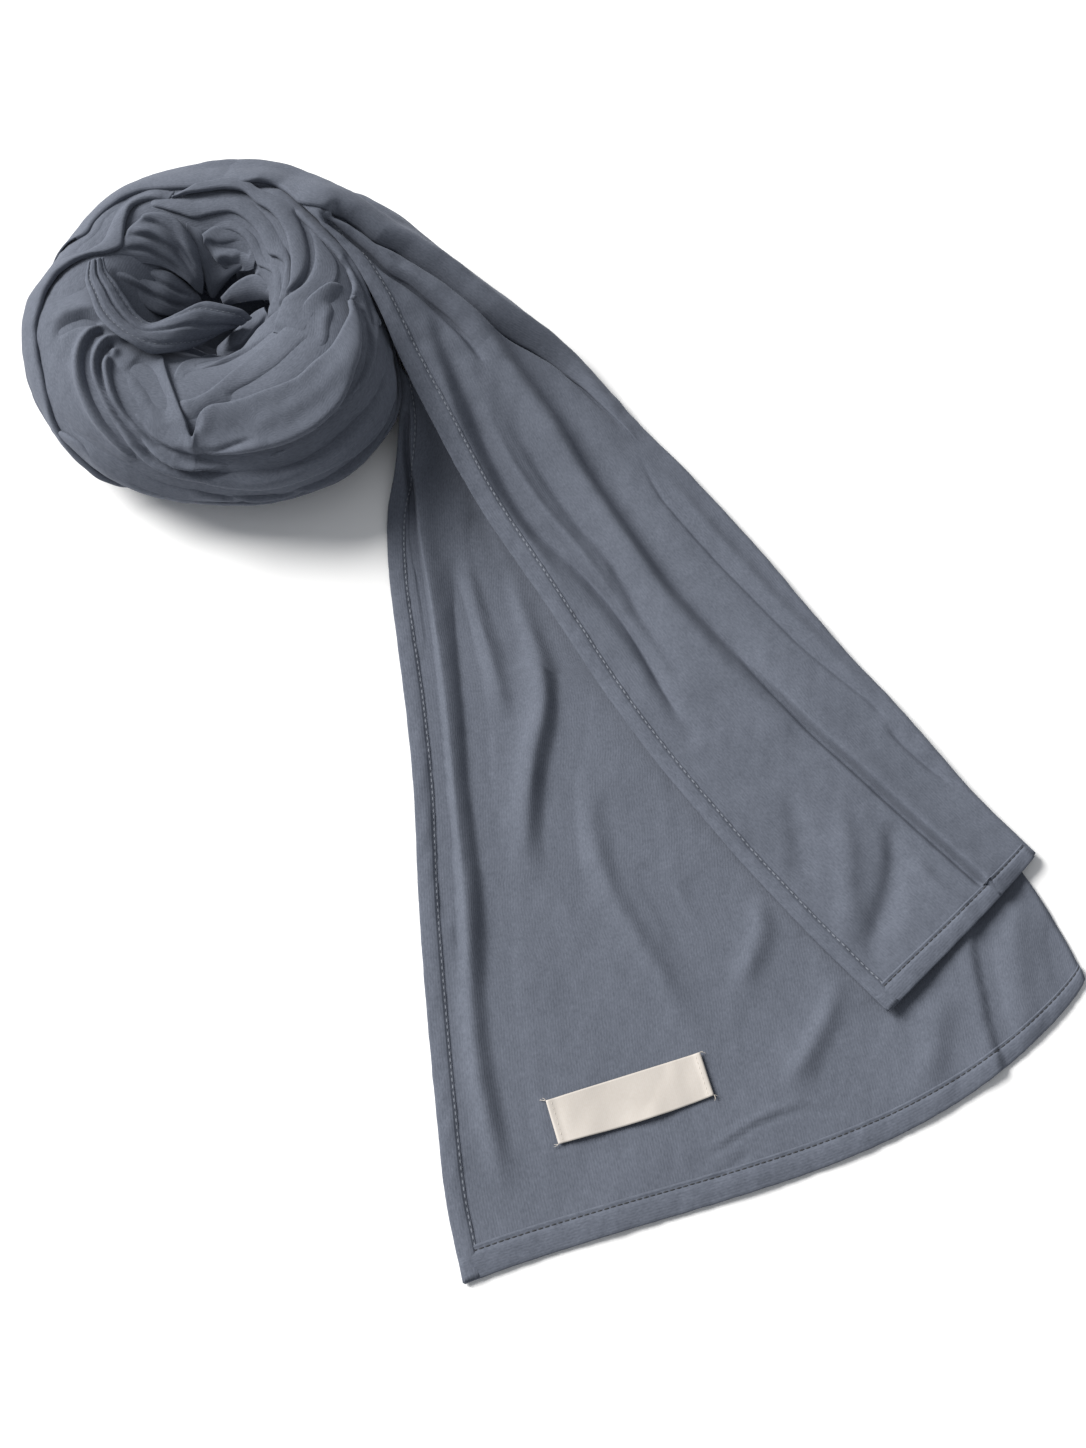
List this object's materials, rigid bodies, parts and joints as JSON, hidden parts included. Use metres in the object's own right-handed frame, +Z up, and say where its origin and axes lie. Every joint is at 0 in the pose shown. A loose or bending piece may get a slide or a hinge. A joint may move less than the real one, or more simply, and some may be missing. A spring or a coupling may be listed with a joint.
{
  "type": "headscarf",
  "caption": "Plain jersey headscarf lying flat, one end wound into a low coil and the rest led off as a doubled, hemmed tail that fans open.",
  "frame": {"origin": "middle of the footprint, on the surface that the scarf lies on", "axes": "+Z up off the surface; +Y away from the viewer, from the tail's end hem towards the coil; +X to the right, from the coil towards the open end of the tail"},
  "size_m": [0.4416, 0.4821, 0.0622],
  "materials": {
    "cloth": "matt fine jersey knit, grey-blue",
    "hem": "the same jersey turned and stitched",
    "label": "cream woven satin, left bare"
  },
  "bodies": {
    "root": {"coil_core": "cloth", "outer_turn": "cloth", "middle_turn": "cloth", "inner_turn": "cloth", "heart": "cloth", "end_strip": "hem", "tail_core": "cloth", "tail_over": "cloth", "tail_under": "cloth", "over_side_hem": "hem", "over_end_hem": "hem", "under_side_hem": "hem", "under_end_hem": "hem", "label": "label"}
  },
  "joints": []
}
